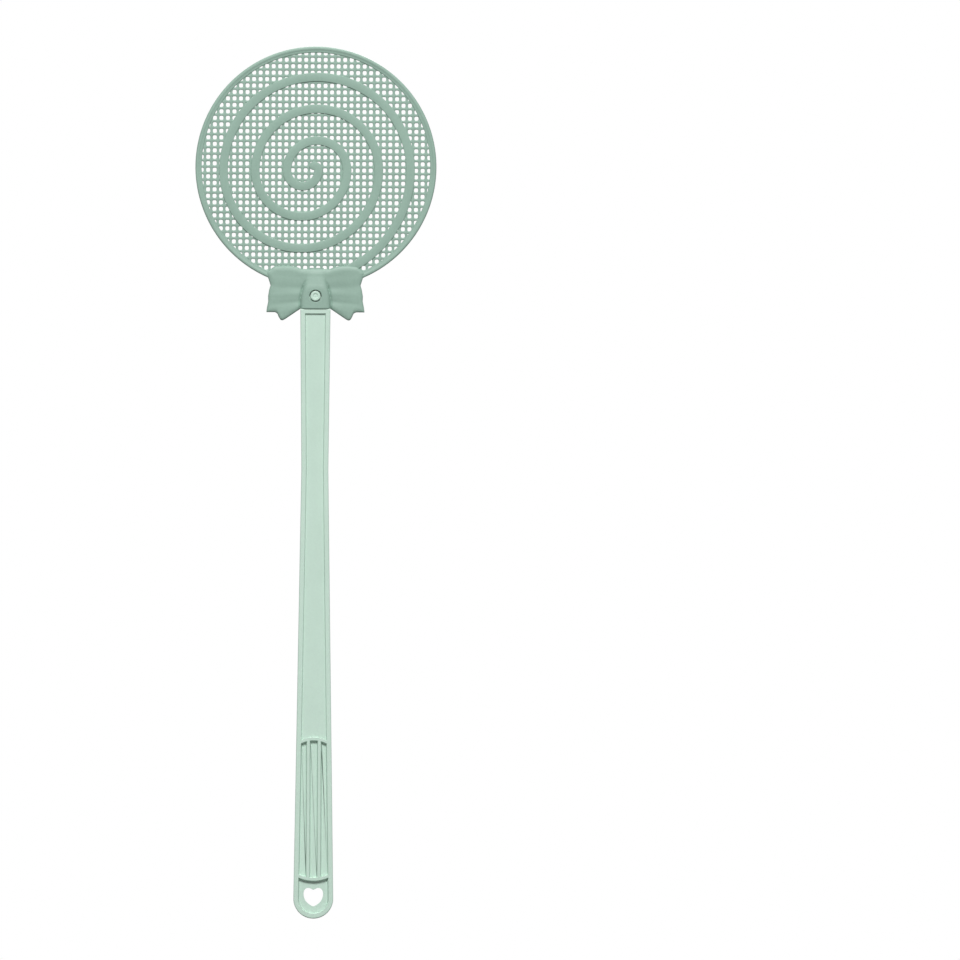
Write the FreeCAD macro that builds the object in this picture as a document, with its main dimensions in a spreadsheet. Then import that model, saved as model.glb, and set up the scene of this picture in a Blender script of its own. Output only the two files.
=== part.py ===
import FreeCAD, Part
import os
import re

import Sketcher
from FreeCAD import Placement, Rotation, Vector

# A plastic fly swatter in two mouldings. The head is a round net with a spiral ribbon and a bow,
# and the bow's knot is a socket. The handle is a long flat bar whose tongue goes up inside the
# knot, where a round stud on the tongue snaps into a hole in the knot's front wall.
#
# Frame, in millimetres: Z runs up the handle to the head, X across it, and the front faces -Y.
# The origin is the middle of the ribbed grip, halfway through the handle's thickness.

doc = FreeCAD.newDocument("FlySwatter")

# ---------------------------------------------------------------- driving dimensions

SIZES = [
    ("end_reach", 44.8, "from the origin down to the centre of the handle's round end"),
    ("grip_length", 65.6, "between the two arched ribs of the grip, at their ends"),
    ("waist_height", 170.0, "the handle's narrowest place, above the origin"),
    ("shoulder_height", 250.2, "the handle's shoulder, where the knot's mouth sits"),
    ("edge_rounding", 0.6, "the fillet along the handle's outside edges"),
    ("end_width", 19.9, "the handle at its round end"),
    ("waist_width", 13.45, "the handle at its narrowest"),
    ("shoulder_width", 15.05, "the handle and the knot where they meet"),
    ("handle_thickness", 5.0, "the handle over its raised border"),
    ("border_width", 2.3, "the raised border round the panels"),
    ("panel_depth", 1.0, "how far the long panel lies below the border, each side"),
    ("pocket_depth", 1.7, "how far the grip's pockets lie below the border, each side"),
    ("arch_thickness", 1.4, "the grip's arched cross ribs"),
    ("arch_rise", 1.6, "how far the arched ribs bulge past their ends"),
    ("rib_width", 1.4, "the grip's two long ribs"),
    ("rib_spacing", 5.5, "between the middles of the two long ribs"),
    ("rib_relief", 0.2, "how far the long ribs stay below the border"),
    ("heart_width", 9.8, "the heart-shaped hang hole"),
    ("heart_height", 9.4, "the hang hole, from its lobes to its point"),
    ("heart_notch", 1.0, "how far the notch dips between the heart's lobes"),
    ("heart_lift", 0.8, "the heart's middle, above the centre of the handle's round end"),
    ("tongue_length", 14.5, "the tongue above the shoulder"),
    ("tongue_width", 11.2, "the tongue at the shoulder"),
    ("tongue_tip_width", 6.6, "the tongue at its tip"),
    ("tongue_thickness", 2.6, "the tongue, front to back"),
    ("socket_clearance", 0.15, "between the tongue and each wall of its socket"),
    ("socket_bottom_gap", 0.8, "between the tongue's tip and the socket's end"),
    ("knot_length", 20.0, "the knot, from its mouth to where it ends on the net"),
    ("knot_straight", 8.0, "the knot's nearly straight lower part"),
    ("knot_draw", 0.5, "how much the lower part narrows"),
    ("knot_top_width", 8.0, "the knot where it ends on the net"),
    ("knot_thickness", 6.4, "the knot at its mouth"),
    ("knot_top_thickness", 3.6, "the knot where it ends on the net"),
    ("stud_height", 6.4, "the stud's centre above the shoulder"),
    ("stud_diameter", 5.0, "the snap stud"),
    ("stud_length", 1.4, "how far the stud stands out of the tongue"),
    ("stud_dimple", 2.2, "the round dimple in the stud's face"),
    ("stud_dimple_depth", 0.4, "depth of that dimple"),
    ("stud_rounding", 0.3, "the fillet round the stud's face"),
    ("stud_clearance", 0.5, "round the stud in the knot's hole"),
    ("knot_drop", 10.6, "how far the knot's mouth hangs below the round rim"),
    ("head_diameter", 120.5, "over the rim"),
    ("rim_width", 3.1, "the rim, measured along the radius"),
    ("rim_thickness", 2.6, "the rim, front to back"),
    ("rim_rounding", 0.9, "the fillet on the rim's edges"),
    ("net_thickness", 1.2, "the net, front to back"),
    ("net_pitch", 3.25, "from one hole of the net to the next"),
    ("net_hole", 2.0, "the net's square holes"),
    ("ribbon_width", 4.3, "the spiral ribbon"),
    ("ribbon_thickness", 2.2, "the spiral ribbon, front to back"),
    ("spiral_inset", 13.5, "from the rim's outside in to the first upper turn's middle"),
    ("spiral_pitch", 15.85, "from one turn of the spiral to the next"),
    ("spiral_shift", 0.55, "the spiral's centre, to the right of the head's"),
    ("spiral_sink", 1.8, "the spiral's centre, below the head's"),
    ("spiral_entry", 66.0, "how far round the outermost arc reaches down into the bow, degrees"),
    ("hook_radius", 2.4, "the small hook at the spiral's inner end"),
    ("hook_shift", 1.7, "the hook's centre, to the left of the spiral's"),
    ("bow_thickness", 3.4, "the bow's two lobes, front to back"),
    ("bow_half_width", 24.6, "from the middle to the bow's lower outer corners"),
    ("bow_waist", 22.5, "from the middle to the hollow in the bow's sides"),
    ("bow_waist_height", 11.6, "that hollow, above the knot's mouth"),
    ("bow_top", 20.0, "the lobes' upper edge, above the knot's mouth"),
    ("bow_crown", 1.6, "how far the upper edge bulges"),
    ("bow_corner_drop", 1.8, "the lower outer corners, below the knot's mouth"),
    ("bow_notch_reach", 19.4, "from the middle to the step in the lobes' lower edge"),
    ("bow_tail_reach", 16.6, "from the middle to the pointed tails"),
    ("bow_tail_drop", 5.9, "the pointed tails, below the knot's mouth"),
]

sheet = doc.addObject("Spreadsheet::Sheet", "Sizes")
for row, (alias, size, meaning) in enumerate(SIZES, start=1):
    sheet.set(f"A{row}", meaning)
    sheet.set(f"B{row}", str(size))
    sheet.setAlias(f"B{row}", alias)
doc.recompute()


def bound(expression):
    """An expression on the sheet, with each alias given its sheet's name."""
    aliases = "|".join(alias for alias, _, _ in SIZES)
    return re.sub(rf"\b({aliases})\b", r"Sizes.\1", expression)


def length(expression):
    """What an expression on the sheet comes to, in millimetres."""
    return float(sheet.evalExpression(bound(expression)))


def bind(target, **properties):
    """Ties an object's properties to expressions on the sheet."""
    for name, expression in properties.items():
        target.setExpression(name, bound(expression))


def place(target, x="0", y="0", z="0", rotation=None):
    """Puts an object at a place given by three expressions."""
    target.Placement = Placement(Vector(), rotation or Rotation())
    target.setExpression("Placement.Base.x", bound(x))
    target.setExpression("Placement.Base.y", bound(y))
    target.setExpression("Placement.Base.z", bound(z))


HEAD_CENTRE = "shoulder_height + knot_drop + head_diameter / 2"
FRONT = Rotation(Vector(1, 0, 0), 90)  # local Z to the front, local Y up
BACK = Rotation(Vector(1, 0, 0), -90)  # local Z to the back, local Y down


# ---------------------------------------------------------------- helpers


def front_sketch(body, name, forward="0"):
    """A sketch whose x is X and whose y is Z, standing forward of the body's XZ plane."""
    sketch = body.newObject("Sketcher::SketchObject", name)
    plane = next(f for f in body.Origin.OriginFeatures if f.Role == "XZ_Plane")
    sketch.AttachmentSupport = [(plane, "")]
    sketch.MapMode = "FlatFace"
    sketch.setExpression("AttachmentOffset.Base.z", bound(forward))
    return sketch


def tie(sketch, kind, edge, end, expression):
    """Ties one coordinate of a point to an expression on the sheet."""
    number = sketch.addConstraint(
        Sketcher.Constraint(kind, -1, 1, edge, end, length(expression))
    )
    sketch.setExpression(f"Constraints[{number}]", bound(expression))


def loop(sketch, corners, bulges=None):
    """A closed outline through corners, each a pair of expressions (X, Z), with every corner tied.

    bulges says, for the edge that leaves a corner, how far the middle of an arc there stands to
    the right of the straight line, or to the left where it is negative.
    """
    bulges = bulges or {}
    first = sketch.GeometryCount
    points = [Vector(length(x), length(z), 0) for x, z in corners]
    begins = []
    for i, start in enumerate(points):
        end = points[(i + 1) % len(points)]
        bulge = length(bulges[i]) if i in bulges else 0
        begins.append(2 if bulge < 0 else 1)  # a sketch's arc always runs anticlockwise
        if i in bulges:
            along = end - start
            right = Vector(along.y, -along.x, 0).normalize()
            sketch.addGeometry(Part.Arc(start, (start + end) / 2 + right * bulge, end))
        else:
            sketch.addGeometry(Part.LineSegment(start, end))
    for i, (x, z) in enumerate(corners):
        after = (i + 1) % len(corners)
        joint = ("Coincident", first + i, 3 - begins[i], first + after, begins[after])
        sketch.addConstraint(Sketcher.Constraint(*joint))
        tie(sketch, "DistanceX", first + i, begins[i], x)
        tie(sketch, "DistanceY", first + i, begins[i], z)
        if i in bulges and abs(length(bulges[i])) > (points[i] - points[after]).Length / 2 - 1e-6:
            tie(sketch, "DistanceY", first + i, 3, z)  # a half circle on a level chord
        elif i in bulges:
            far_x, far_z = corners[after]
            square = f"((({far_x}) - ({x})) ^ 2 + (({far_z}) - ({z})) ^ 2) / 4"
            radius = f"(({square}) + ({bulges[i]}) ^ 2) / (2 * abs({bulges[i]}))"
            arc = Sketcher.Constraint("Radius", first + i, length(radius))
            sketch.setExpression(f"Constraints[{sketch.addConstraint(arc)}]", bound(radius))


def circle(sketch, x, z, radius):
    """A circle whose centre and radius are tied to the sheet."""
    shape = Part.Circle(Vector(length(x), length(z), 0), Vector(0, 0, 1), length(radius))
    number = sketch.addGeometry(shape)
    tie(sketch, "DistanceX", number, 3, x)
    tie(sketch, "DistanceY", number, 3, z)
    rule = sketch.addConstraint(Sketcher.Constraint("Radius", number, length(radius)))
    sketch.setExpression(f"Constraints[{rule}]", bound(radius))


def feature(body, kind, sketch, depth, both_ways=False):
    """A Pad or Pocket of a sketch, as deep as an expression says."""
    made = body.newObject(f"PartDesign::{kind}", f"{sketch.Name}_{kind.lower()}")
    made.Profile = sketch
    made.SideType = "Symmetric" if both_ways else "One side"
    bind(made, Length=depth)
    doc.recompute()
    return made


def fillet(body, base, edges, radius):
    """Rounds the edges of a feature that pass a test."""
    made = body.newObject("PartDesign::Fillet", f"{base.Name}_fillet")
    chosen = [f"Edge{i}" for i, edge in enumerate(base.Shape.Edges, start=1) if edges(edge)]
    made.Base = (base, chosen)
    bind(made, Radius=radius)
    doc.recompute()
    return made


def mirrored(body, originals, role):
    """Features repeated on the other side of one of the body's own planes."""
    made = body.newObject("PartDesign::Mirrored", f"{body.Name}_mirrored")
    made.Originals = originals
    made.MirrorPlane = (next(f for f in body.Origin.OriginFeatures if f.Role == role), [""])
    body.Tip = made
    doc.recompute()
    return made


# ---------------------------------------------------------------- handle


def handle_half_width(height):
    """Half the handle's width at a height between its round end and its waist."""
    share = f"(waist_height - ({height})) / (waist_height + end_reach)"
    return f"(waist_width + (end_width - waist_width) * {share}) / 2"


def handle():
    """The bar: a bordered outline, panels and pockets on both faces, ribs, heart and tongue."""
    body = doc.addObject("PartDesign::Body", "Handle")
    body.Label = "handle"

    outline = front_sketch(body, "outline")
    loop(
        outline,
        [
            ("-end_width / 2", "-end_reach"),
            ("end_width / 2", "-end_reach"),
            ("waist_width / 2", "waist_height"),
            ("shoulder_width / 2", "shoulder_height"),
            ("-shoulder_width / 2", "shoulder_height"),
            ("-waist_width / 2", "waist_height"),
        ],
        {0: "end_width / 2"},
    )
    bar = feature(body, "Pad", outline, "handle_thickness", both_ways=True)
    shoulder = length("shoulder_height")

    def runs_round_a_face(edge):
        box = edge.BoundBox
        return box.YLength < 1e-6 and box.ZMin < shoulder - 1e-6

    fillet(body, bar, runs_round_a_face, "edge_rounding")

    top = "(grip_length / 2 + arch_thickness)"
    panel_low = f"{handle_half_width(top)} - border_width"
    panel = front_sketch(body, "panel", "handle_thickness / 2")
    loop(
        panel,
        [
            (f"-({panel_low})", top),
            (panel_low, top),
            ("waist_width / 2 - border_width", "waist_height"),
            ("shoulder_width / 2 - border_width", "shoulder_height - border_width"),
            ("-(shoulder_width / 2 - border_width)", "shoulder_height - border_width"),
            ("-(waist_width / 2 - border_width)", "waist_height"),
        ],
        {0: "-arch_rise"},
    )

    grip_low = f"{handle_half_width('-grip_length / 2')} - border_width"
    grip_high = f"{handle_half_width('grip_length / 2')} - border_width"
    grip = front_sketch(body, "grip", "handle_thickness / 2")
    loop(
        grip,
        [
            (f"-({grip_low})", "-grip_length / 2"),
            (grip_low, "-grip_length / 2"),
            (grip_high, "grip_length / 2"),
            (f"-({grip_high})", "grip_length / 2"),
        ],
        {0: "arch_rise", 2: "arch_rise"},
    )

    arch_foot = "-(grip_length / 2 + arch_thickness)"
    end_high = f"{handle_half_width(arch_foot)} - border_width"
    end_low = "(end_width / 2 - border_width)"
    end = front_sketch(body, "end", "handle_thickness / 2")
    loop(
        end,
        [
            (f"-({end_high})", arch_foot),
            (end_high, arch_foot),
            (end_low, "-end_reach"),
            (f"-{end_low}", "-end_reach"),
        ],
        {0: "arch_rise", 2: f"-{end_low}"},
    )

    recesses = [
        feature(body, "Pocket", panel, "panel_depth"),
        feature(body, "Pocket", grip, "pocket_depth"),
        feature(body, "Pocket", end, "pocket_depth"),
    ]
    mirrored(body, recesses, "XZ_Plane")

    ribs = front_sketch(body, "ribs")
    for side in ("-", "+"):
        inner = f"{side}(rib_spacing - rib_width) / 2"
        outer = f"{side}(rib_spacing + rib_width) / 2"
        reach = "(grip_length / 2 + arch_rise)"
        loop(ribs, [(inner, f"-{reach}"), (outer, f"-{reach}"), (outer, reach), (inner, reach)])
    feature(body, "Pad", ribs, "handle_thickness - 2 * rib_relief", both_ways=True)

    heart = front_sketch(body, "heart", "handle_thickness / 2")
    widest = "heart_lift - end_reach + heart_height / 7"
    loop(
        heart,
        [
            ("0", "heart_lift - end_reach - heart_height / 2"),
            ("heart_width / 2", widest),
            ("0", "heart_lift - end_reach + heart_height / 2 - heart_notch"),
            ("-heart_width / 2", widest),
        ],
        {0: "heart_width / 16", 1: "heart_width / 5", 2: "heart_width / 5", 3: "heart_width / 16"},
    )
    feature(body, "Pocket", heart, "handle_thickness")

    tongue = front_sketch(body, "tongue")
    root = "shoulder_height - border_width / 2"
    tip = "shoulder_height + tongue_length"
    loop(
        tongue,
        [
            ("-tongue_width / 2", root),
            ("tongue_width / 2", root),
            ("tongue_width / 2", "shoulder_height"),
            ("tongue_tip_width / 2", tip),
            ("-tongue_tip_width / 2", tip),
            ("-tongue_width / 2", "shoulder_height"),
        ],
    )
    feature(body, "Pad", tongue, "tongue_thickness", both_ways=True)
    return body


# ---------------------------------------------------------------- snap stud


def snap_stud():
    """A low round stud on the front of the tongue, with a dimple in its face."""
    body = doc.addObject("PartDesign::Body", "SnapStud")
    body.Label = "snap_stud"
    centre = "shoulder_height + stud_height"
    disc = front_sketch(body, "disc", "tongue_thickness / 2")
    circle(disc, "0", centre, "stud_diameter / 2")
    stud = feature(body, "Pad", disc, "stud_length")
    front = -length("tongue_thickness / 2 + stud_length")
    fillet(body, stud, lambda edge: edge.BoundBox.YMax < front + 1e-6, "stud_rounding")
    dimple = front_sketch(body, "dimple", "tongue_thickness / 2 + stud_length")
    circle(dimple, "0", centre, "stud_dimple / 2")
    feature(body, "Pocket", dimple, "stud_dimple_depth")
    return body


# ---------------------------------------------------------------- head


def rim():
    """The round rim: a rounded rectangle turned about the head's axis, which runs along Y."""
    body = doc.addObject("PartDesign::Body", "Rim")
    plane = next(f for f in body.Origin.OriginFeatures if f.Role == "XY_Plane")
    section = body.newObject("Sketcher::SketchObject", "rim_section")
    section.AttachmentSupport = [(plane, "")]
    section.MapMode = "FlatFace"
    outer, inner = "head_diameter / 2", "head_diameter / 2 - rim_width"
    half = "rim_thickness / 2"
    loop(section, [(inner, f"-{half}"), (outer, f"-{half}"), (outer, half), (inner, half)])
    turned = body.newObject("PartDesign::Revolution", "rim_turned")
    turned.Profile = section
    turned.ReferenceAxis = (section, ["V_Axis"])
    turned.Angle = 360
    doc.recompute()
    fillet(body, turned, lambda edge: edge.BoundBox.YLength < 1e-6, "rim_rounding")
    place(body, z=HEAD_CENTRE)
    return body


def net():
    """The thin round plate of the net, with square holes in rows and columns.

    A bar of the net, not a hole, runs through the head's centre each way. The holes stop under
    the rim and behind the bow, and the ribbon fills those that it covers.
    """
    pitch, half_hole = length("net_pitch"), length("net_hole / 2")
    reach = length("head_diameter / 2 - rim_width / 2")
    back = length("net_thickness / 2")
    count = int(reach / pitch) + 1
    centres = [(i + 0.5) * pitch for i in range(-count, count)]
    bow_top = length(f"shoulder_height + bow_top - ({HEAD_CENTRE})")
    bow_side = length("bow_half_width")
    square = [(-1, -1), (1, -1), (1, 1), (-1, 1), (-1, -1)]
    wires = [Part.Wire(Part.makeCircle(reach, Vector(0, back, 0), Vector(0, 1, 0)))]
    for x in centres:
        for z in centres:
            behind_bow = abs(x) + half_hole < bow_side and z + half_hole < bow_top
            on_plate = Vector(abs(x) + half_hole, 0, abs(z) + half_hole).Length < reach
            if on_plate and not behind_bow:
                corners = [Vector(x + a * half_hole, back, z + b * half_hole) for a, b in square]
                wires.append(Part.makePolygon(corners))
    plate = doc.addObject("Part::Feature", "Net")
    plate.Shape = Part.Face(wires).extrude(Vector(0, -2 * back, 0))
    place(plate, z=HEAD_CENTRE)
    return plate


def arc_of_ribbon(name, radius, x, lower=False, span="180"):
    """A flat arc of the ribbon about a centre at x, starting at its right-hand end."""
    arc = doc.addObject("Part::Cut", name)
    rotation = BACK if lower else FRONT
    start = "-ribbon_thickness / 2" if lower else "ribbon_thickness / 2"
    for part, edge in (("Base", "+"), ("Tool", "-")):
        disc = doc.addObject("Part::Cylinder", f"{name}_{part}")
        bind(disc, Radius=f"{radius} {edge} ribbon_width / 2", Height="ribbon_thickness", Angle=span)
        place(disc, x, start, f"{HEAD_CENTRE} - spiral_sink", rotation)
        setattr(arc, part, disc)
    return arc


def ribbon():
    """The spiral: half circles whose centres change sides, so that each starts where one ends."""
    upper = ["(head_diameter / 2 - spiral_inset)"]
    upper += [f"({upper[0]} - {turn} * spiral_pitch)" for turn in (1, 2)]
    lower_centre = "spiral_shift - spiral_pitch / 2"
    entry_radius = f"({upper[0]} + spiral_pitch / 2)"
    arcs = [arc_of_ribbon("entry", entry_radius, lower_centre, lower=True, span="spiral_entry")]
    for turn, radius in enumerate(upper):
        arcs.append(arc_of_ribbon(f"upper_{turn}", radius, "spiral_shift"))
        if turn < len(upper) - 1:
            inner = f"({radius} - spiral_pitch / 2)"
            arcs.append(arc_of_ribbon(f"lower_{turn}", inner, lower_centre, lower=True))
    # the last lower arc is a little larger, to end where the hook begins
    last = f"(({upper[-1]} + hook_radius - hook_shift) / 2)"
    last_centre = f"spiral_shift - {upper[-1]} + {last}"
    arcs.append(arc_of_ribbon("last", last, last_centre, lower=True))
    hook_centre = "spiral_shift - hook_shift"
    arcs.append(arc_of_ribbon("hook", "hook_radius", hook_centre, span="90"))
    tip = doc.addObject("Part::Cylinder", "hook_tip")
    bind(tip, Radius="ribbon_width / 2", Height="ribbon_thickness")
    tip_height = f"{HEAD_CENTRE} - spiral_sink + hook_radius"
    place(tip, hook_centre, "ribbon_thickness / 2", tip_height, FRONT)
    return [*arcs, tip]


def bow():
    """The bow's two lobes: the right-hand one, and its mirror image."""
    body = doc.addObject("PartDesign::Body", "Bow")
    lobe = front_sketch(body, "lobe")
    corner_height = "shoulder_height - bow_corner_drop"
    top = "shoulder_height + bow_top"
    loop(
        lobe,
        [
            ("0", "shoulder_height"),
            ("shoulder_width / 2", "shoulder_height"),
            ("bow_tail_reach", "shoulder_height - bow_tail_drop"),
            ("bow_notch_reach", corner_height),
            ("bow_half_width", corner_height),
            ("bow_waist", "shoulder_height + bow_waist_height"),
            ("bow_half_width", f"{top} - bow_crown"),
            ("knot_top_width / 2", top),
            ("0", top),
        ],
        {6: "bow_crown"},
    )
    right = feature(body, "Pad", lobe, "bow_thickness", both_ways=True)
    mirrored(body, [right], "YZ_Plane")
    return body


def wedge(name, low, high):
    """A block that tapers upwards: each end is its height, half width and half thickness."""
    block = doc.addObject("Part::Wedge", name)
    (start, width, thickness), (end, far_width, far_thickness) = low, high
    bind(block, Ymin=start, Xmin=f"-{width}", Xmax=width, Zmin=f"-{thickness}", Zmax=thickness)
    bind(block, Ymax=end, X2min=f"-{far_width}", X2max=far_width)
    bind(block, Z2min=f"-{far_thickness}", Z2max=far_thickness)
    place(block, z="shoulder_height", rotation=FRONT)
    return block


def knot():
    """The knot's outside: a nearly straight lower part, and a crown that sinks into the net."""
    mouth = ("0", "(shoulder_width / 2)", "(knot_thickness / 2)")
    middle = ("knot_straight", "((shoulder_width - knot_draw) / 2)", "(knot_thickness / 2)")
    crown = ("knot_length", "(knot_top_width / 2)", "(knot_top_thickness / 2)")
    return [wedge("KnotBase", mouth, middle), wedge("KnotCrown", middle, crown)]


def socket():
    """What is cut from the knot: the tongue's tapered socket, and the stud's hole in front."""
    half_depth = "(tongue_thickness / 2 + socket_clearance)"
    hollow = wedge(
        "Socket",
        ("0", "(tongue_width / 2 + socket_clearance)", half_depth),
        ("tongue_length + socket_bottom_gap", "(tongue_tip_width / 2 + socket_clearance)", half_depth),
    )
    hole = doc.addObject("Part::Cylinder", "StudHole")
    bind(hole, Radius="stud_diameter / 2 + stud_clearance", Height="knot_thickness")
    place(hole, z="shoulder_height + stud_height", rotation=FRONT)
    return [hollow, hole]


def joined(kind, name, **shapes):
    """A boolean of earlier objects."""
    made = doc.addObject(f"Part::{kind}", name)
    for role, shape in shapes.items():
        setattr(made, role, shape)
    return made


def head():
    """The whole head. The socket and the hole are cut before the net is joined on.

    The net has thousands of faces, which Part's own functions join to the frame in seconds.
    """
    hollow = joined("MultiFuse", "SocketAndHole", Shapes=socket())
    solid = joined("MultiFuse", "FrameSolid", Shapes=[rim(), *ribbon(), bow(), *knot()])
    frame = joined("Cut", "Frame", Base=solid, Tool=hollow)
    plate = net()
    doc.recompute()
    made = doc.addObject("Part::Feature", "Head")
    made.Shape = frame.Shape.fuse(plate.Shape.cut(hollow.Shape))
    made.Label = "head"
    return made


# ---------------------------------------------------------------- build, check and write

pieces = [handle(), snap_stud(), head()]
doc.recompute()

for made in doc.Objects:
    if "Invalid" in made.State or "Error" in made.State:
        raise RuntimeError(f"{made.Name} failed: {made.State}")
for piece in pieces:
    if piece.Shape.isNull() or not piece.Shape.isValid() or len(piece.Shape.Solids) != 1:
        raise RuntimeError(f"{piece.Label} is not one valid solid")

os.makedirs("parts", exist_ok=True)
for piece in pieces:
    piece.Shape.exportStep(f"parts/{piece.Label}.step")
    print(f"{piece.Label}: {piece.Shape.Volume / 1000:.2f} cm3, {len(piece.Shape.Faces)} faces")
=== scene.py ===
import math

import bpy
from mathutils import Matrix, Vector


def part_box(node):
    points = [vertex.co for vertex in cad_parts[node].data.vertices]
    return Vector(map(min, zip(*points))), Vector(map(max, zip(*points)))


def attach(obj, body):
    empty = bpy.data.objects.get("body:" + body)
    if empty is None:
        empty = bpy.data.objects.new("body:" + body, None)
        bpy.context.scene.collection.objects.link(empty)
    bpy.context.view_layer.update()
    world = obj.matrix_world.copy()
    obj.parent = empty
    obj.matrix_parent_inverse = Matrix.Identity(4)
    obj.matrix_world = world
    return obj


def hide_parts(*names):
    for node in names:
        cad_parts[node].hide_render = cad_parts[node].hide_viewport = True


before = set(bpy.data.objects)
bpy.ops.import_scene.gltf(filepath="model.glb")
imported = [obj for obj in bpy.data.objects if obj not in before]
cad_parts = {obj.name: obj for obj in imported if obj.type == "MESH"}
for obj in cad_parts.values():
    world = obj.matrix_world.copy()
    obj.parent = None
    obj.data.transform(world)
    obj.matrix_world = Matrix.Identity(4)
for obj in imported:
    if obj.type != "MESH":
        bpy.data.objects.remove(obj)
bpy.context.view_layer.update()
mm = 0.001
nearly = 0.01 * mm  # points closer than this are merged

headLow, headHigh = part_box("head")
handleLow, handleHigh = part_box("handle")
studLow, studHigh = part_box("snap_stud")

headRadius = (headHigh.x - headLow.x) / 2
headCentre = Vector((0, 0, headHigh.z - headRadius))
tongueLength = 14.5 * mm  # how far the handle goes up inside the knot
mouth = handleHigh.z - tongueLength  # the handle's shoulder, where the knot sits


# small tools that every piece uses

def deselect():
    bpy.ops.object.select_all(action="DESELECT")


def makeActive(piece):
    deselect()
    piece.select_set(True)
    bpy.context.view_layer.objects.active = piece


def editMode():
    bpy.ops.object.mode_set(mode="EDIT")
    bpy.ops.mesh.select_all(action="SELECT")


def objectMode():
    bpy.ops.object.mode_set(mode="OBJECT")


def applyModifier(piece, kind, **settings):
    makeActive(piece)
    modifier = piece.modifiers.new(kind.title(), kind)
    for name, value in settings.items():
        setattr(modifier, name, value)
    bpy.ops.object.modifier_apply(modifier=modifier.name)


def closeUp(piece, distance=nearly):
    # merges doubles and turns every face outwards
    makeActive(piece)
    editMode()
    bpy.ops.mesh.remove_doubles(threshold=distance)
    bpy.ops.mesh.normals_make_consistent(inside=False)
    objectMode()


def smooth(piece, angle=30):
    makeActive(piece)
    bpy.ops.object.shade_smooth_by_angle(angle=math.radians(angle))


def joinPieces(name, pieces):
    deselect()
    for piece in pieces:
        piece.select_set(True)
    bpy.context.view_layer.objects.active = pieces[0]
    bpy.ops.object.join()
    pieces[0].name = name
    pieces[0].data.name = name
    return pieces[0]


def ring(name, points):
    # a filled face through points, each an (x, y, z) place
    deselect()
    bpy.ops.mesh.primitive_circle_add(vertices=len(points), radius=1, fill_type="NGON")
    piece = bpy.context.object
    piece.name = name
    for vert, point in zip(piece.data.vertices, points):
        vert.co = point
    return piece


def prism(name, outline, back, front):
    # an outline of (x, z) points, extruded from y = back to y = front
    piece = ring(name, [(x, back, z) for x, z in outline])
    editMode()
    bpy.ops.mesh.extrude_region_move(TRANSFORM_OT_translate={"value": (0, front - back, 0)})
    bpy.ops.mesh.select_all(action="SELECT")
    bpy.ops.mesh.normals_make_consistent(inside=False)
    objectMode()
    return piece


def stackRings(name, rings):
    # a filled ring of points, extruded on to each next ring of as many points
    piece = ring(name, rings[0])
    for places in rings[1:]:
        makeActive(piece)
        bpy.ops.object.mode_set(mode="EDIT")
        bpy.ops.mesh.extrude_region_move(TRANSFORM_OT_translate={"value": (0, 0, 0)})
        objectMode()
        moved = [vert for vert in piece.data.vertices if vert.select]
        for vert, place in zip(moved, places):
            vert.co = place
    closeUp(piece, nearly / 10)
    return piece


def turned(name, middle, side, steps=64):
    # a round piece about an axis along Y, at the height given by middle; side holds
    # the (radius, y) places down its side
    rings = []
    for radius, y in side:
        points = arcPoints((0, middle), radius, 0, 360, steps)[:-1]
        rings.append([(x, y, z) for x, z in points])
    return stackRings(name, rings)


def drawnIn(outline, distance, sharpest=0.3):
    # an anticlockwise outline, with every side moved inwards by the same distance, but a
    # corner sharper than the limit moved less
    places = []
    for i, here in enumerate(outline):
        here = Vector(here)
        first = (here - Vector(outline[i - 1])).normalized()
        second = (Vector(outline[(i + 1) % len(outline)]) - here).normalized()
        inwards = Vector((-first.y - second.y, first.x + second.x)).normalized()
        spread = max(sharpest, inwards.dot(Vector((-first.y, first.x))))
        places.append(here + inwards * distance / spread)
    return places


def tray(name, outline, face, depth, draft, clear):
    # a cutter that sinks a recess into the side face, y = face, with walls that lean by the draft
    side = math.copysign(1, face)
    rings = []
    for points, y in (
        (drawnIn(outline, draft), face - side * depth),
        (outline, face),
        (outline, face + side * clear),
    ):
        rings.append([(x, y, z) for x, z in points])
    return stackRings(name, rings)


def arcPoints(centre, radius, start, end, steps):
    # points along an arc in the XZ plane, angles in degrees, anticlockwise from +X
    angles = [math.radians(start + (end - start) * i / steps) for i in range(steps + 1)]
    return [(centre[0] + radius * math.cos(a), centre[1] + radius * math.sin(a)) for a in angles]


def roundedBar(width, thickness, radius, steps):
    # a rounded rectangle as (u, y) points about its middle, in order round it
    points = []
    for cornerU, cornerY, start in ((1, 1, 0), (-1, 1, 90), (-1, -1, 180), (1, -1, 270)):
        centre = (cornerU * (width / 2 - radius), cornerY * (thickness / 2 - radius))
        points += arcPoints(centre, radius, start, start + 90, steps)
    return points


def cutAway(piece, cutter):
    applyModifier(piece, "BOOLEAN", operation="DIFFERENCE", object=cutter, solver="EXACT")
    bpy.data.objects.remove(cutter)


def between(stations, at):
    # a smooth value read from (place, value) stations
    for (lowPlace, low), (highPlace, high) in zip(stations, stations[1:]):
        if at <= highPlace:
            t = max(0, (at - lowPlace) / (highPlace - lowPlace))
            return low + (high - low) * t * t * (3 - 2 * t)
    return stations[-1][1]


# the socket inside the knot, which takes the handle's tongue

socketSizes = {
    "halfDepth": 1.45,
    # (height above the mouth, half width), in millimetres
    "stations": [(-1, 5.85), (15.3, 3.45)],
}


def freeSocket(piece):
    s = socketSizes
    (low, lowHalf), (high, highHalf) = s["stations"]
    outline = [(-lowHalf, low), (lowHalf, low), (highHalf, high), (-highHalf, high)]
    outline = [(x * mm, mouth + z * mm) for x, z in outline]
    cutAway(piece, prism("socket", outline, s["halfDepth"] * mm, -s["halfDepth"] * mm))


# net

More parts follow.
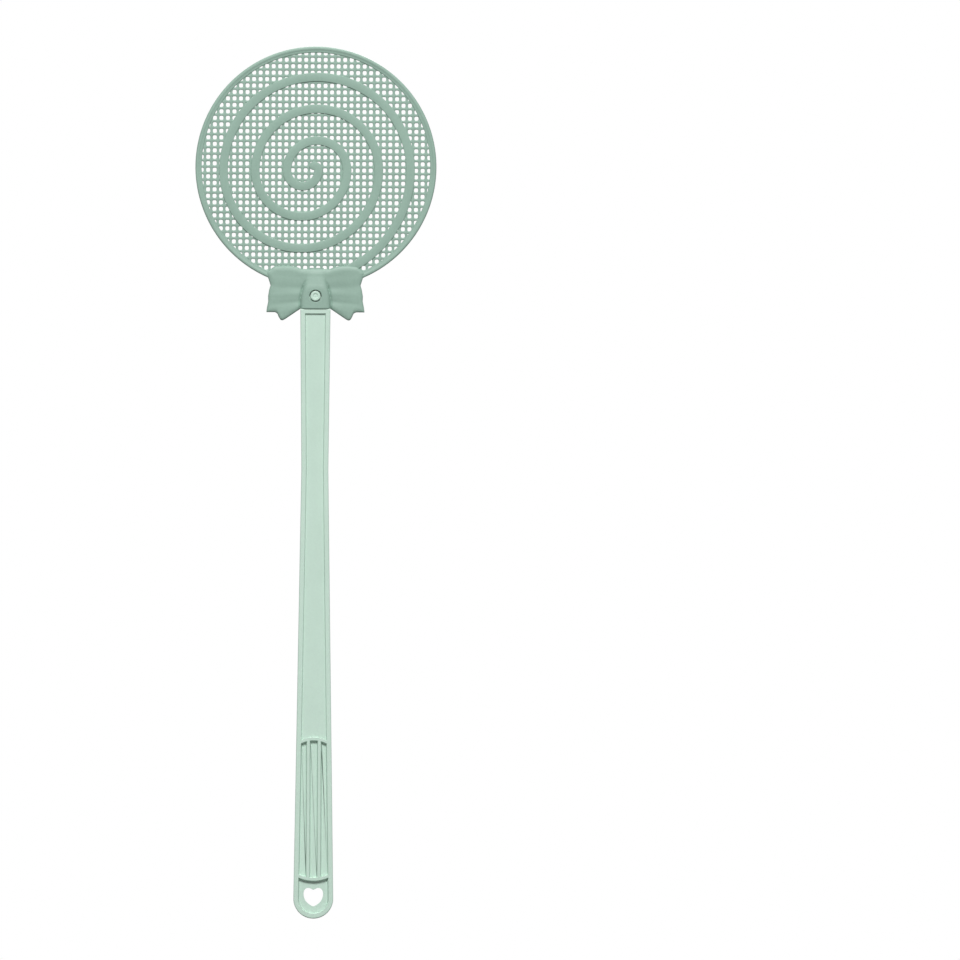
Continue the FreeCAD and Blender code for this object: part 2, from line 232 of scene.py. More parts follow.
netSizes = {
    "pitch": 3.25 * mm,
    "hole": 2.02 * mm,
    "holeCorner": 0.6 * mm,
    "cornerSteps": 2,
    "thickness": 1.2 * mm,
    "edgeRounding": 0.22 * mm,
    "hiddenUnderRim": 1.6 * mm,
    "turn": 0.08,
    "shift": -0.25 * mm,
    "outlineSteps": 180,
    "discDepth": 2 * mm,
}


def buildNetCell():
    # one rounded hole, with the square patch of net round it
    s = netSizes
    hole = roundedBar(s["hole"], s["hole"], s["holeCorner"], s["cornerSteps"])
    half = s["pitch"] / 2
    deselect()
    bpy.ops.mesh.primitive_circle_add(vertices=len(hole), radius=1)
    cell = bpy.context.object
    for vert, (x, z) in zip(cell.data.vertices, hole):
        vert.co = (x, 0, z)
    editMode()
    bpy.ops.mesh.extrude_edges_move(TRANSFORM_OT_translate={"value": (0, 0, 0)})
    objectMode()
    for vert in cell.data.vertices:
        if vert.select:
            x, z = vert.co.x, vert.co.z
            corner = abs(abs(x) - abs(z)) < nearly
            if corner or abs(x) > abs(z):
                vert.co.x = math.copysign(half, x)
            if corner or abs(z) > abs(x):
                vert.co.z = math.copysign(half, z)
    return cell


def buildNet():
    s = netSizes
    count = 2 * math.ceil(headRadius / s["pitch"])
    first = -(count - 1) / 2 * s["pitch"]
    net = buildNetCell()
    for axis in (0, 2):
        step = [0, 0, 0]
        step[axis] = s["pitch"]
        applyModifier(
            net, "ARRAY", count=count, use_relative_offset=False, use_constant_offset=True,
            constant_offset_displace=step, use_merge_vertices=True, merge_threshold=nearly,
        )
    turn = Matrix.Rotation(math.radians(s["turn"]), 4, "Y")
    for vert in net.data.vertices:
        vert.co = turn @ (vert.co + Vector((first + s["shift"], 0, first))) + headCentre
    applyModifier(net, "SOLIDIFY", thickness=s["thickness"], offset=0)
    applyModifier(
        net, "BEVEL", width=s["edgeRounding"], segments=1, limit_method="ANGLE",
        angle_limit=math.radians(50),
    )

    # the net stops under the rim, and leaves the knot's socket free
    radius = headRadius - s["hiddenUnderRim"]
    outline = arcPoints((0, headCentre.z), radius, 0, 360, s["outlineSteps"])
    disc = prism("disc", outline[:-1], s["discDepth"], -s["discDepth"])
    applyModifier(net, "BOOLEAN", operation="INTERSECT", object=disc, solver="EXACT")
    bpy.data.objects.remove(disc)
    freeSocket(net)
    closeUp(net)
    smooth(net, 60)
    net.name = "net"
    print("net:", len(net.data.polygons), "faces")
    return net


# spiral ribbon

ribbonSizes = {
    "width": 4.33 * mm,
    "thickness": 2.2 * mm,
    "rounding": 0.3 * mm,
    "roundingSteps": 3,
    "turns": 3,
    "inset": 13.5 * mm,
    "pitch": 15.85 * mm,
    "shift": 0.55 * mm,
    "sink": 1.8 * mm,
    "entryAngle": 66,
    "hookRadius": 2.4 * mm,
    "hookShift": 1.7 * mm,
    "stepLength": 1.9 * mm,
    # places round the quarter circle that ends the hook
    "tipAngles": (25, 50, 70, 85),
}


def turnRibbon(centre, radius, angle):
    # spins the selected ring about a centre, with steps of much the same length
    steps = max(6, round(radius * math.radians(angle) / ribbonSizes["stepLength"]))
    bpy.ops.mesh.spin(
        steps=steps, angle=math.radians(angle), center=(centre[0], 0, centre[1]), axis=(0, 1, 0)
    )


def buildRibbon():
    s = ribbonSizes
    middleX, middleZ = headCentre.x + s["shift"], headCentre.z - s["sink"]
    radii = [headRadius - s["inset"] - turn * s["pitch"] for turn in range(s["turns"])]
    lowerX = middleX - s["pitch"] / 2

    entryRadius = radii[0] + s["pitch"] / 2
    angle = math.radians(-s["entryAngle"])
    profile = roundedBar(s["width"], s["thickness"], s["rounding"], s["roundingSteps"])
    places = []
    for u, y in profile:
        radius = entryRadius + u
        places.append((lowerX + radius * math.cos(angle), y, middleZ + radius * math.sin(angle)))
    ribbon = ring("ribbon", places)
    editMode()
    turnRibbon((lowerX, middleZ), entryRadius, s["entryAngle"])
    for turn, radius in enumerate(radii):
        turnRibbon((middleX, middleZ), radius, 180)
        if turn < len(radii) - 1:
            turnRibbon((lowerX, middleZ), radius - s["pitch"] / 2, 180)
    hookX = middleX - s["hookShift"]
    lastRadius = (radii[-1] + s["hookRadius"] - s["hookShift"]) / 2
    turnRibbon((middleX - radii[-1] + lastRadius, middleZ), lastRadius, 180)
    turnRibbon((hookX, middleZ), s["hookRadius"], 90)

    # the hook's tip is drawn out in a few steps that close in to a round end
    tipZ = middleZ + s["hookRadius"]
    before = 0
    for degrees in s["tipAngles"]:
        bpy.ops.mesh.extrude_region_move(TRANSFORM_OT_translate={"value": (0, 0, 0)})
        now = math.radians(degrees)
        objectMode()
        for vert in ribbon.data.vertices:
            if vert.select:
                vert.co.x -= s["width"] / 2 * (math.sin(now) - math.sin(before))
                vert.co.z = tipZ + (vert.co.z - tipZ) * math.cos(now) / math.cos(before)
        bpy.ops.object.mode_set(mode="EDIT")
        before = now
    objectMode()
    closeUp(ribbon)
    smooth(ribbon, 40)
    print("ribbon:", len(ribbon.data.polygons), "faces")
    return ribbon


# rim

rimSizes = {
    "width": 3.1 * mm,
    "thickness": 2.6 * mm,
    "beadWidth": 2.05 * mm,
    "flangeThickness": 1.9 * mm,
    "beadRounding": 0.8 * mm,
    "beadSteps": 4,
    "flangeRounding": 0.4 * mm,
    "flangeSteps": 3,
    "blend": 0.246 * mm,
    "steps": 240,
}


def buildRim():
    s = rimSizes
    beadCentre = s["width"] / 2 - s["beadWidth"] / 2
    bead = roundedBar(s["beadWidth"], s["thickness"], s["beadRounding"], s["beadSteps"])
    bead = [(u + beadCentre, y) for u, y in bead]
    # a thinner flange on the bead's inner side carries the net
    half = s["flangeThickness"] / 2
    rounding = s["flangeRounding"]
    cornerU = rounding - s["width"] / 2
    flange = arcPoints((cornerU, half - rounding), rounding, 90, 180, s["flangeSteps"])
    flange += arcPoints((cornerU, rounding - half), rounding, 180, 270, s["flangeSteps"])
    # a small hollow joins the two, and takes the place of the bead's last points on that side
    blend = s["blend"]
    innerBead = beadCentre - s["beadWidth"] / 2
    hollowU, hollowY = innerBead + blend * 0.3, half + blend * 0.4
    opposite = len(bead) // 2
    profile = bead[:opposite - 2] + [(hollowU, hollowY), (innerBead - blend, half)]
    profile += flange
    profile += [(innerBead - blend, -half), (hollowU, -hollowY)] + bead[opposite + 2:]
    middle = headRadius - s["width"] / 2
    rim = ring("rim", [(headCentre.x + middle + u, y, headCentre.z) for u, y in profile])
    editMode()
    bpy.ops.mesh.delete(type="ONLY_FACE")
    bpy.ops.mesh.select_all(action="SELECT")
    bpy.ops.mesh.spin(
        steps=s["steps"], angle=2 * math.pi, center=headCentre, axis=(0, -1, 0)
    )
    objectMode()
    closeUp(rim)
    freeSocket(rim)
    smooth(rim, 35)
    print("rim:", len(rim.data.polygons), "faces")
    return rim


# bow

bowSizes = {
    "edgeThickness": 1.5,
    "thickness": 3.4,
    "edgeRound": 2.6,
    "columns": 128,
    "rows": 60,
    "bevel": 0.35,
    "firstGuess": (-2, 20),
    "guesses": 4,
    # (distance from the middle, height above the knot's mouth)
    "lowerEdge": [(0, 1.6), (4, 1.6), (7.4, 0), (15.3, -5.35), (16.4, -5.9), (17.4, -5.7),
                  (18.4, -4.1), (19.0, -2.5), (20.2, -1.8), (24.6, -1.8)],
    "upperEdge": [(0, 19.9), (7.2, 19.9), (9, 20.7), (11.8, 21.4), (16, 21.7), (20.6, 21.1),
                  (22.5, 19.7), (24.9, 17.6)],
    "outerEdge": [(-1.8, 24.55), (0.55, 24.25), (3.7, 23.6), (6.2, 23.7), (9.5, 23.15),
                  (11.6, 22.5), (14.5, 23.4), (17.5, 24.55)],
    # distances from the middle between which the folds grow, beside the knot
    "foldStart": (4, 7),
    # distances from the middle between which they weaken again, and how weak they end
    "foldFade": (7.6, 24.6, 0.35),
    # soft folds fan out from this distance: height there, slope, depth and half width
    "foldRoot": 7,
    "folds": [(10.4, 0.03, 0.2, 1.5), (3.6, -0.1, 0.26, 1.3), (15.4, 0.14, 0.12, 1.9)],
    "ridges": [(7.4, -0.04, 0.16, 1.4), (0.6, -0.2, 0.14, 1.4)],
    # beside the knot: depth, half width, the height where it ends, and the length of its fading
    "groove": (0.9, 0.65, 14.5, 4),
    # how softly the knot's top runs into the lobes: (height, width of the blend)
    "blend": [(10.5, 0.02), (15.5, 0.9)],
    # how far the bow stays under the knot's face: (height, depth)
    "under": [(9, 0.5), (13, 0)],
}


def straight(stations, at):
    # a value read from (place, value) stations joined by straight lines
    for (lowPlace, low), (highPlace, high) in zip(stations, stations[1:]):
        if at <= highPlace:
            t = max(0, (at - lowPlace) / (highPlace - lowPlace))
            return low + (high - low) * t
    return stations[-1][1]


def bowPoint(across, up):
    # where a point of the flat bow lies, as X and height above the mouth, in millimetres
    s = bowSizes
    lowest, highest = s["firstGuess"]
    height = lowest + (highest - lowest) * up
    for _ in range(s["guesses"]):
        x = straight(s["outerEdge"], height) * across
        low = straight(s["lowerEdge"], abs(x))
        high = straight(s["upperEdge"], abs(x))
        height = low + (high - low) * up
    return x, height


def knotHalfDepth(x, height):
    # how far the knot's face stands from the middle plane
    power = between(knotSizes["squareness"], height)
    across = min(1, x / between(knotSizes["halfWidth"], height))
    return between(knotSizes["halfDepth"], height) * (1 - across ** power) ** (1 / power)


def bowHalfThickness(x, height):
    s = bowSizes
    x = abs(x)
    toEdge = min(
        height - straight(s["lowerEdge"], x),
        straight(s["upperEdge"], x) - height,
        straight(s["outerEdge"], height) - x,
    )
    inside = min(1, max(0, toEdge / s["edgeRound"]))
    crown = math.sqrt(1 - (1 - inside) ** 2)
    half = (s["edgeThickness"] + (s["thickness"] - s["edgeThickness"]) * crown) / 2
    start, end, weakest = s["foldFade"]
    towardsKnot = min(1, max(0, (end - x) / (end - start)))
    start, end = s["foldStart"]
    besideKnot = min(1, max(0, (x - start) / (end - start)))
    strength = (weakest + (1 - weakest) * towardsKnot) * inside * besideKnot
    for sign, waves in ((-1, s["folds"]), (1, s["ridges"])):
        for start, slope, depth, spread in waves:
            line = start + slope * (x - s["foldRoot"])
            half += sign * depth * strength * math.exp(-((height - line) / spread) ** 2)
    depth, spread, end, fadeLength = s["groove"]
    side = between(knotSizes["halfWidth"], height)
    fade = min(1, max(0, (end - height) / fadeLength))
    half -= depth * fade * math.exp(-((x - side) / spread) ** 2)
    blend = between(s["blend"], height) * inside
    above = half - knotHalfDepth(x, height) + between(s["under"], height)
    return half + (math.sqrt(above ** 2 + blend ** 2) - above) / 2


def buildBow():
    s = bowSizes
    deselect()
    bpy.ops.mesh.primitive_grid_add(x_subdivisions=s["columns"], y_subdivisions=s["rows"], size=1)
    bow = bpy.context.object
    bow.name = "bow"
    for vert in bow.data.vertices:
        x, height = bowPoint(vert.co.x * 2, vert.co.y + 0.5)
        vert.co = Vector((x * mm, -bowHalfThickness(x, height) * mm, mouth + height * mm))
    # the front sheet's border is drawn back to the middle plane, and mirrored there
    editMode()
    bpy.ops.mesh.region_to_loop()
    bpy.ops.mesh.extrude_edges_move(TRANSFORM_OT_translate={"value": (0, 0, 0)})
    objectMode()
    for vert in bow.data.vertices:
        if vert.select:
            vert.co.y = 0
    applyModifier(
        bow, "MIRROR", use_axis=(False, True, False), use_clip=True,
        merge_threshold=nearly,
    )
    closeUp(bow)
    applyModifier(
        bow, "BEVEL", width=s["bevel"] * mm, segments=2, limit_method="ANGLE",
        angle_limit=math.radians(50),
    )
    freeSocket(bow)
    cutAway(bow, buildHoleCutter())
    closeUp(bow)
    smooth(bow, 50)
    print("bow:", len(bow.data.polygons), "faces")
    return bow


# knot, which is the socket

knotSizes = {
    "around": 96,
    # (height above the mouth, how square the knot's section is)
    "squareness": [(8, 6), (18, 2.5)],
    # (height above the mouth, half size), in millimetres
    "halfWidth": [(0, 7.55), (4, 7.5), (19.5, 4.1)],
    "lean": 0.07,
    "halfDepth": [(0, 3.15), (9.3, 3.2), (20.4, 1.0)],
    "levels": [0, 0.12, 0.35, 0.8, 2, 4, 6, 7.7, 9, 10.2, 11.2, 12.2, 13.2, 14.2, 15.2, 16.2, 17.2,
               18.2, 19.2, 20, 20.4],
    "mouthRounding": 0.3,
    "holeHeight": 6.4,
    "holeRadius": 3.0,
    "holeChamfer": 0.3,
}


def superellipse(angle, halfWidth, halfDepth, power):
    across, forward = math.cos(angle), math.sin(angle)
    x = halfWidth * math.copysign(abs(across) ** (2 / power), across)
    y = halfDepth * math.copysign(abs(forward) ** (2 / power), forward)
    return x, y


def buildKnot():
    s = knotSizes

    def level(height):
        shrink = max(0, s["mouthRounding"] - height)
        shrink = s["mouthRounding"] - math.sqrt(max(0, s["mouthRounding"] ** 2 - shrink ** 2))
        places = []
        for i in range(s["around"]):
            x, y = superellipse(
                2 * math.pi * (i + 0.5) / s["around"],
                between(s["halfWidth"], height) - shrink,
                between(s["halfDepth"], height) - shrink,
                between(s["squareness"], height),
            )
            x *= 1 - s["lean"] * abs(y) / between(s["halfDepth"], height)
            places.append((x * mm, y * mm, mouth + height * mm))
        return places

    knot = stackRings("knot", [level(height) for height in s["levels"]])
    freeSocket(knot)
    cutAway(knot, buildHoleCutter())
    closeUp(knot)
    smooth(knot, 32)
    applyModifier(knot, "WEIGHTED_NORMAL", keep_sharp=True, weight=100)
    print("knot:", len(knot.data.polygons), "faces")
    return knot


def buildHoleCutter():
    s = knotSizes
    radius = s["holeRadius"] * mm
    chamfer = s["holeChamfer"] * mm
    face = -between(s["halfDepth"], s["holeHeight"]) * mm
    # (radius, y) down the side of the cutter, which flares where it leaves the knot's face
    side = [(radius, 0), (radius, face + chamfer), (radius + chamfer * 0.3, face + chamfer * 0.35),
            (radius + chamfer, face), (radius + chamfer * 2, face - chamfer * 2)]
    return turned("hole", mouth + s["holeHeight"] * mm, side)


# handle

handleSizes = {
    "endReach": 44.8,
    "gripHalf": 32.8,
    "waistHeight": 170.0,
    "endWidth": 19.9,
    "waistWidth": 13.45,
    "shoulderWidth": 15.05,
    "thickness": 5.0,
    "border": 2.3,
    "panelDepth": 1.0,
    "pocketDepth": 1.7,
    "archThickness": 1.4,
    "archRise": 1.6,
    "ribWidth": 1.4,
    "ribSpacing": 5.5,
    "heartLift": 0.8,
    "heartWidth": 9.7,
    # (across, up) round the right half of the heart, from its point to its notch, in halves
    # of its width
    "heart": [(0, -0.95), (0.16, -0.9), (0.33, -0.8), (0.5, -0.68), (0.66, -0.54), (0.78, -0.4),
              (0.88, -0.22), (0.95, -0.03), (0.99, 0.16), (1.0, 0.36), (0.98, 0.55), (0.92, 0.71),
              (0.8, 0.85), (0.64, 0.93), (0.46, 0.94), (0.28, 0.88), (0.12, 0.79), (0, 0.74)],
    "tongueHalfWidth": 5.6,
    "tongueTipHalfWidth": 3.3,
    "tongueThickness": 2.6,
    "tongueRoot": 1,
    "panelDraft": 0.35,
    "pocketDraft": 0.5,
    "outerRounding": 0.55,
    "rounding": 0.24,
    "endSteps": 56,
    "pocketSteps": 48,
    "clear": 1,  # how far a cutter stands out past the face
}


def handleHalfWidth(height):
    s = handleSizes
    share = (s["waistHeight"] - height) / (s["waistHeight"] + s["endReach"])
    if share < 0:
        share = (height - s["waistHeight"]) / (mouth / mm - s["waistHeight"])
        return (s["waistWidth"] + (s["shoulderWidth"] - s["waistWidth"]) * share) / 2
    return (s["waistWidth"] + (s["endWidth"] - s["waistWidth"]) * share) / 2


def metres(points):
    return [(x * mm, z * mm) for x, z in points]


def archLine(left, right, foot, rise, halfSpan, steps=16):
    # points from left to right on an arched rib's edge, which stands rise past its feet
    points = []
    for i in range(steps + 1):
        x = left + (right - left) * i / steps
        points.append((x, foot + rise * (1 - (x / halfSpan) ** 2)))
    return points


def handleOutline():
    s = handleSizes
    shoulder = mouth / mm
    points = arcPoints((0, -s["endReach"]), s["endWidth"] / 2, 180, 360, s["endSteps"])
    points += [(s["waistWidth"] / 2, s["waistHeight"]), (s["shoulderWidth"] / 2, shoulder)]
    points += [(-s["shoulderWidth"] / 2, shoulder), (-s["waistWidth"] / 2, s["waistHeight"])]
    return metres(points)


def panelOutline():
    s = handleSizes
    low = s["gripHalf"] + s["archThickness"]
    half = handleHalfWidth(low) - s["border"]
    top = mouth / mm - s["border"]
    points = archLine(-half, half, low, s["archRise"], half)
    points += [(s["waistWidth"] / 2 - s["border"], s["waistHeight"])]
    points += [(s["shoulderWidth"] / 2 - s["border"], top)]
    points += [(s["border"] - s["shoulderWidth"] / 2, top)]
    points += [(s["border"] - s["waistWidth"] / 2, s["waistHeight"])]
    return metres(points)


def gripOutlines():
    # the grip's three long pockets, either side of the two ribs
    s = handleSizes
    lowHalf = handleHalfWidth(-s["gripHalf"]) - s["border"]
    highHalf = handleHalfWidth(s["gripHalf"]) - s["border"]
    ribInner = (s["ribSpacing"] - s["ribWidth"]) / 2
    ribOuter = (s["ribSpacing"] + s["ribWidth"]) / 2
    spans = [
        ((-lowHalf, -ribOuter), (-highHalf, -ribOuter)),
        ((-ribInner, ribInner), (-ribInner, ribInner)),
        ((ribOuter, lowHalf), (ribOuter, highHalf)),
    ]
    outlines = []
    for (lowLeft, lowRight), (highLeft, highRight) in spans:
        points = archLine(lowLeft, lowRight, -s["gripHalf"], -s["archRise"], lowHalf)
        points += archLine(highRight, highLeft, s["gripHalf"], s["archRise"], highHalf)
        outlines.append(metres(points))
    return outlines


def endOutline():
    s = handleSizes
    foot = -(s["gripHalf"] + s["archThickness"])
    half = handleHalfWidth(foot) - s["border"]
    radius = s["endWidth"] / 2 - s["border"]
    points = arcPoints((0, -s["endReach"]), radius, 180, 360, s["pocketSteps"])
    points += archLine(half, -half, foot, -s["archRise"], half)
    return metres(points)


def heartOutline():
    s = handleSizes
    half = s["heartWidth"] / 2
    middle = s["heartLift"] - s["endReach"]
    left = [(-x, z) for x, z in s["heart"][1:-1]]
    outline = s["heart"] + left[::-1]
    return metres([(x * half, middle + z * half) for x, z in outline])


def buildHandle():
    s = handleSizes
    face = s["thickness"] / 2 * mm
    clear = s["clear"] * mm
    handle = prism("handleMoulding", handleOutline(), face, -face)
    applyModifier(
        handle, "BEVEL", width=s["outerRounding"] * mm, segments=3, limit_method="ANGLE",
        angle_limit=math.radians(60),
    )

    cutters = []
    recesses = [(panelOutline(), s["panelDepth"], s["panelDraft"])]
    for outline in [endOutline()] + gripOutlines():
        recesses.append((outline, s["pocketDepth"], s["pocketDraft"]))
    for outline, depth, draft in recesses:
        for side in (face, -face):
            cutters.append(tray("recess", outline, side, depth * mm, draft * mm, clear))
    heart = prism("heart", heartOutline(), face + clear, -face - clear)
    cutter = joinPieces("recesses", cutters)
    for tool in (cutter, heart):
        applyModifier(handle, "BOOLEAN", operation="DIFFERENCE", object=tool, solver="EXACT")
        bpy.data.objects.remove(tool)

    shoulder = mouth / mm
    foot = shoulder - s["tongueRoot"]
    tip = shoulder + tongueLength / mm
    right = [(s["tongueHalfWidth"], foot), (s["tongueHalfWidth"], shoulder),
             (s["tongueTipHalfWidth"], tip)]
    left = [(-x, z) for x, z in right[::-1]]
    tongue = left[-1:] + right + left[:-1]
    depth = s["tongueThickness"] / 2 * mm
    blade = prism("tongue", metres(tongue), depth, -depth)
    applyModifier(handle, "BOOLEAN", operation="UNION", object=blade, solver="EXACT")
    bpy.data.objects.remove(blade)
    closeUp(handle)
    applyModifier(
        handle, "BEVEL", width=s["rounding"] * mm, segments=3, limit_method="ANGLE",
        angle_limit=math.radians(38), use_clamp_overlap=True,
    )
    smooth(handle, 35)
    applyModifier(handle, "WEIGHTED_NORMAL", keep_sharp=True, weight=100)
    print("handle:", len(handle.data.polygons), "faces")
    return handle


# snap stud

studSizes = {
    # (radius, height above the tongue), in millimetres: the side, the rim, and the ringed dimple
    "side": [(2.5, 0.0), (2.5, 1.05), (2.44, 1.22), (2.3, 1.34), (2.1, 1.38), (1.45, 1.38),
             (1.25, 1.33), (1.15, 1.18), (1.05, 1.07), (0.9, 1.04), (0.45, 1.1), (0.15, 1.16)],
}


def buildStud():
    side = [(radius * mm, studHigh.y - rise * mm) for radius, rise in studSizes["side"]]
    stud = turned("snapStud", (studLow.z + studHigh.z) / 2, side)
    smooth(stud, 40)
    print("snap stud:", len(stud.data.polygons), "faces")
    return stud


# materials

grainLook = {
    "grainDetail": 3,
    "grainRoughness": 0.6,
    "cloudScale": 55,
    "cloudDetail": 2,
    "speckleScale": 900,
    "speckleDetail": 4,
    "speckleShare": 0.45,
    "toneSwing": 2,
    "glossSwing": 3,
}


def newSocket(group, name, inOut, kind, value=None):
    socket = group.interface.new_socket(name=name, in_out=inOut, socket_type=kind)
    if value is not None:
        socket.default_value = value


def buildMouldedGrain():
    # fine frosted grain, with a faint drift of tone and gloss over the moulding
    s = grainLook
    group = bpy.data.node_groups.new("mouldedGrain", "ShaderNodeTree")
    newSocket(group, "Colour", "INPUT", "NodeSocketColor", (0.5, 0.5, 0.5, 1))
    newSocket(group, "Grain Scale", "INPUT", "NodeSocketFloat", 2600)
    newSocket(group, "Grain Depth", "INPUT", "NodeSocketFloat", 0.35)
    newSocket(group, "Drift", "INPUT", "NodeSocketFloat", 0.05)
    newSocket(group, "Roughness", "INPUT", "NodeSocketFloat", 0.5)
    newSocket(group, "Colour", "OUTPUT", "NodeSocketColor")
    newSocket(group, "Roughness", "OUTPUT", "NodeSocketFloat")
    newSocket(group, "Height", "OUTPUT", "NodeSocketFloat")
    nodes, links = group.nodes, group.links
    given = nodes.new("NodeGroupInput")
    out = nodes.new("NodeGroupOutput")
    place = nodes.new("ShaderNodeTexCoord")

    grain = nodes.new("ShaderNodeTexNoise")
    grain.inputs["Detail"].default_value = s["grainDetail"]
    grain.inputs["Roughness"].default_value = s["grainRoughness"]
    links.new(place.outputs["Object"], grain.inputs["Vector"])
    links.new(given.outputs["Grain Scale"], grain.inputs["Scale"])
    depth = nodes.new("ShaderNodeMath")
    depth.operation = "MULTIPLY"
    links.new(grain.outputs["Fac"], depth.inputs[0])
    links.new(given.outputs["Grain Depth"], depth.inputs[1])
    links.new(depth.outputs[0], out.inputs["Height"])

    # slow drift of tone, as where the melt cooled at different rates
    cloud = nodes.new("ShaderNodeTexNoise")
    cloud.inputs["Scale"].default_value = s["cloudScale"]
    cloud.inputs["Detail"].default_value = s["cloudDetail"]
    links.new(place.outputs["Object"], cloud.inputs["Vector"])
    speckle = nodes.new("ShaderNodeTexNoise")
    speckle.inputs["Scale"].default_value = s["speckleScale"]
    speckle.inputs["Detail"].default_value = s["speckleDetail"]
    links.new(place.outputs["Object"], speckle.inputs["Vector"])
    together = nodes.new("ShaderNodeMix")
    together.data_type = "FLOAT"
    together.inputs["Factor"].default_value = s["speckleShare"]
    links.new(cloud.outputs["Fac"], together.inputs["A"])
    links.new(speckle.outputs["Fac"], together.inputs["B"])
    centred = nodes.new("ShaderNodeMath")
    centred.operation = "SUBTRACT"
    centred.inputs[1].default_value = 0.5
    links.new(together.outputs["Result"], centred.inputs[0])
    swing = nodes.new("ShaderNodeMath")
    swing.operation = "MULTIPLY"
    links.new(centred.outputs[0], swing.inputs[0])
    links.new(given.outputs["Drift"], swing.inputs[1])
    bright = nodes.new("ShaderNodeMath")
    bright.operation = "MULTIPLY_ADD"
    bright.inputs[1].default_value = s["toneSwing"]
    bright.inputs[2].default_value = 1
    links.new(swing.outputs[0], bright.inputs[0])
    tint = nodes.new("ShaderNodeHueSaturation")
    links.new(given.outputs["Colour"], tint.inputs["Color"])
    links.new(bright.outputs[0], tint.inputs["Value"])
    links.new(tint.outputs["Color"], out.inputs["Colour"])

    gloss = nodes.new("ShaderNodeMath")
    gloss.operation = "MULTIPLY_ADD"
    gloss.inputs[1].default_value = s["glossSwing"]
    links.new(swing.outputs[0], gloss.inputs[0])
    links.new(given.outputs["Roughness"], gloss.inputs[2])
    links.new(gloss.outputs[0], out.inputs["Roughness"])
    return group


def plasticMaterial(name, grainGroup, look):
    colour = look["colour"]
    material = bpy.data.materials.new(name)
    material.use_nodes = True
    material.diffuse_color = (*colour, 1)
    nodes, links = material.node_tree.nodes, material.node_tree.links
    shader = nodes["Principled BSDF"]
    grain = nodes.new("ShaderNodeGroup")
    grain.node_tree = grainGroup
    grain.inputs["Colour"].default_value = (*colour, 1)
    grain.inputs["Grain Scale"].default_value = look["grainScale"]
    grain.inputs["Grain Depth"].default_value = look["grainDepth"]
    grain.inputs["Drift"].default_value = look["drift"]
    grain.inputs["Roughness"].default_value = look["roughness"]
    links.new(grain.outputs["Colour"], shader.inputs["Base Color"])
    links.new(grain.outputs["Roughness"], shader.inputs["Roughness"])
    bump = nodes.new("ShaderNodeBump")
    bump.inputs["Strength"].default_value = look["bump"]
    bump.inputs["Distance"].default_value = look["bumpHeight"]
    links.new(grain.outputs["Height"], bump.inputs["Height"])
    links.new(bump.outputs["Normal"], shader.inputs["Normal"])
    shader.inputs["Specular IOR Level"].default_value = look["specular"]
    shader.inputs["Subsurface Weight"].default_value = look["glow"]
    shader.inputs["Subsurface Radius"].default_value = look["glowRadius"]
    shader.inputs["Subsurface Scale"].default_value = look["glowReach"]
    return material


def setMaterial(piece, material):
    piece.data.materials.clear()
    piece.data.materials.append(material)


headLook = {
    "colour": (0.297, 0.434, 0.361),
    "grainScale": 2600,
    "grainDepth": 1,
    "drift": 0.15,
    "roughness": 0.52,
    "bump": 0.35,
    "bumpHeight": 0.05 * mm,
    "specular": 0.4,
    "glow": 0.06,
    "glowRadius": (1.0, 1.2, 1.0),
    "glowReach": 0.6 * mm,
}
handleLook = {
    "colour": (0.558, 0.723, 0.624),
    "grainScale": 3000,
    "grainDepth": 1,
    "drift": 0.08,
    "roughness": 0.42,
    "bump": 0.2,
    "bumpHeight": 0.05 * mm,
    "specular": 0.45,
    "glow": 0.1,
    "glowRadius": (1.0, 1.2, 1.0),
    "glowReach": 0.6 * mm,
}


# stage: floor, light and camera

stageLook = {
    "floorSize": 3.2,
    "floorGap": 0.2 * mm,
    "floorRoughness": 0.8,
    # how pale the floor looks, and how pale it is to the light that falls on it
    "floorSeen": (0.86, 0.86, 0.86, 1),
    "floorLit": (0.16, 0.16, 0.16, 1),
    "white": (1, 1, 1, 1),
    "skyStrength": 0.15,
}


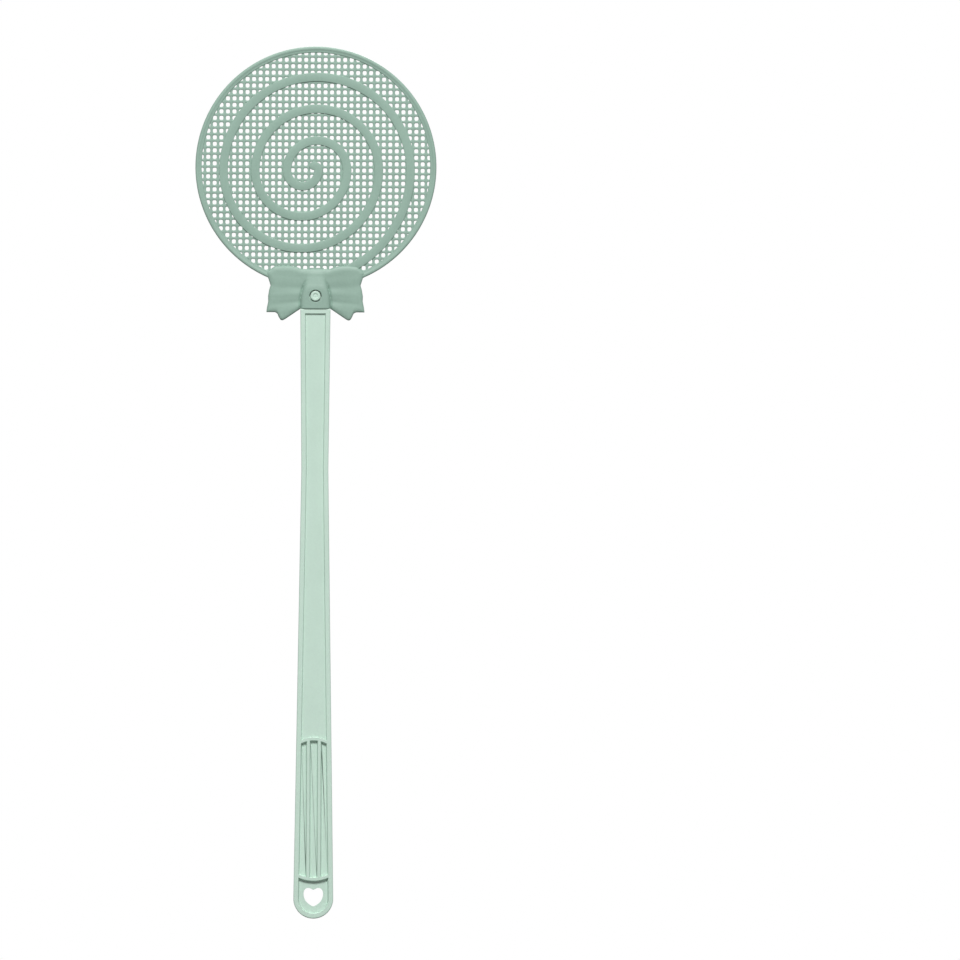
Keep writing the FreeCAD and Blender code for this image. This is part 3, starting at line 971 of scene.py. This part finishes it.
def buildStage():
    s = stageLook
    deselect()
    floorHeight = handleLow.z - s["floorGap"]
    bpy.ops.mesh.primitive_plane_add(size=s["floorSize"], location=(0, 0, floorHeight))
    floor = bpy.context.object
    floor.name = "floor"
    paper = bpy.data.materials.new("palePaper")
    paper.use_nodes = True
    nodes, links = paper.node_tree.nodes, paper.node_tree.links
    shader = nodes["Principled BSDF"]
    shader.inputs["Roughness"].default_value = s["floorRoughness"]
    # pale to look at, but it throws little light back up at the object
    tone = nodes.new("ShaderNodeMix")
    tone.data_type = "RGBA"
    tone.inputs["A"].default_value = s["floorLit"]
    tone.inputs["B"].default_value = s["floorSeen"]
    path = nodes.new("ShaderNodeLightPath")
    links.new(path.outputs["Is Camera Ray"], tone.inputs["Factor"])
    links.new(tone.outputs["Result"], shader.inputs["Base Color"])
    floor.data.materials.append(paper)

    world = bpy.data.worlds.new("studio")
    bpy.context.scene.world = world
    world.use_nodes = True
    nodes, links = world.node_tree.nodes, world.node_tree.links
    nodes.clear()
    out = nodes.new("ShaderNodeOutputWorld")
    seen = nodes.new("ShaderNodeBackground")
    seen.inputs["Color"].default_value = s["white"]
    lit = nodes.new("ShaderNodeBackground")
    lit.inputs["Color"].default_value = s["white"]
    lit.inputs["Strength"].default_value = s["skyStrength"]
    pick = nodes.new("ShaderNodeMixShader")
    path = nodes.new("ShaderNodeLightPath")
    links.new(path.outputs["Is Camera Ray"], pick.inputs["Fac"])
    links.new(lit.outputs["Background"], pick.inputs[1])
    links.new(seen.outputs["Background"], pick.inputs[2])
    links.new(pick.outputs["Shader"], out.inputs["Surface"])


lightPlan = {
    "distance": 5,
    # (name, across, towards the front, up, size, power)
    "lamps": [
        ("topLight", 0.0, 0.72, 0.69, 1.2, 255),
        ("frontFill", 0.25, 1.0, 0.15, 3.5, 12),
        ("backLight", 0.1, -0.7, 0.7, 2.4, 250),
    ],
}


def buildLights():
    target = Vector((0, 0, headCentre.z / 2))
    for name, across, forward, up, size, power in lightPlan["lamps"]:
        deselect()
        way = Vector((across, -forward, up)).normalized()
        bpy.ops.object.light_add(type="AREA", location=target + way * lightPlan["distance"])
        lamp = bpy.context.object
        lamp.name = name
        lamp.data.size = size
        lamp.data.energy = power
        lamp.rotation_euler = way.to_track_quat("Z", "Y").to_euler()
        lamp.visible_camera = False


cameraView = {
    "frameWidth": 480 * mm,
    "farthest": 20,
    "objectLeft": 82.6 * mm,
    "headDrop": 156.2 * mm,
    "roll": 0.21,
    "distance": 3.0,
}


def buildCamera():
    # square on to the front, from far off, with the object in the left half of the frame
    v = cameraView
    bpy.ops.object.camera_add(
        location=(v["objectLeft"], -v["distance"], headCentre.z - v["headDrop"]),
        rotation=(math.pi / 2, math.radians(-v["roll"]), 0),
    )
    camera = bpy.context.object
    camera.data.type = "ORTHO"
    camera.data.ortho_scale = v["frameWidth"]
    camera.data.clip_end = v["farthest"]
    bpy.context.scene.camera = camera


headPieces = [buildNet(), buildRibbon(), buildRim(), buildBow(), buildKnot()]
handlePieces = [buildHandle(), buildStud()]

grain = buildMouldedGrain()
headPlastic = plasticMaterial("headPlastic", grain, headLook)
handlePlastic = plasticMaterial("handlePlastic", grain, handleLook)
for piece in headPieces:
    setMaterial(piece, headPlastic)
    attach(piece, "head")
    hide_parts("head")
for piece, node in zip(handlePieces, ("handle", "snap_stud")):
    setMaterial(piece, handlePlastic)
    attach(piece, "handle")
    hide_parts(node)
print("materials: done")

buildStage()
buildLights()
buildCamera()
bpy.context.scene.view_settings.view_transform = "Standard"
print("stage: done")
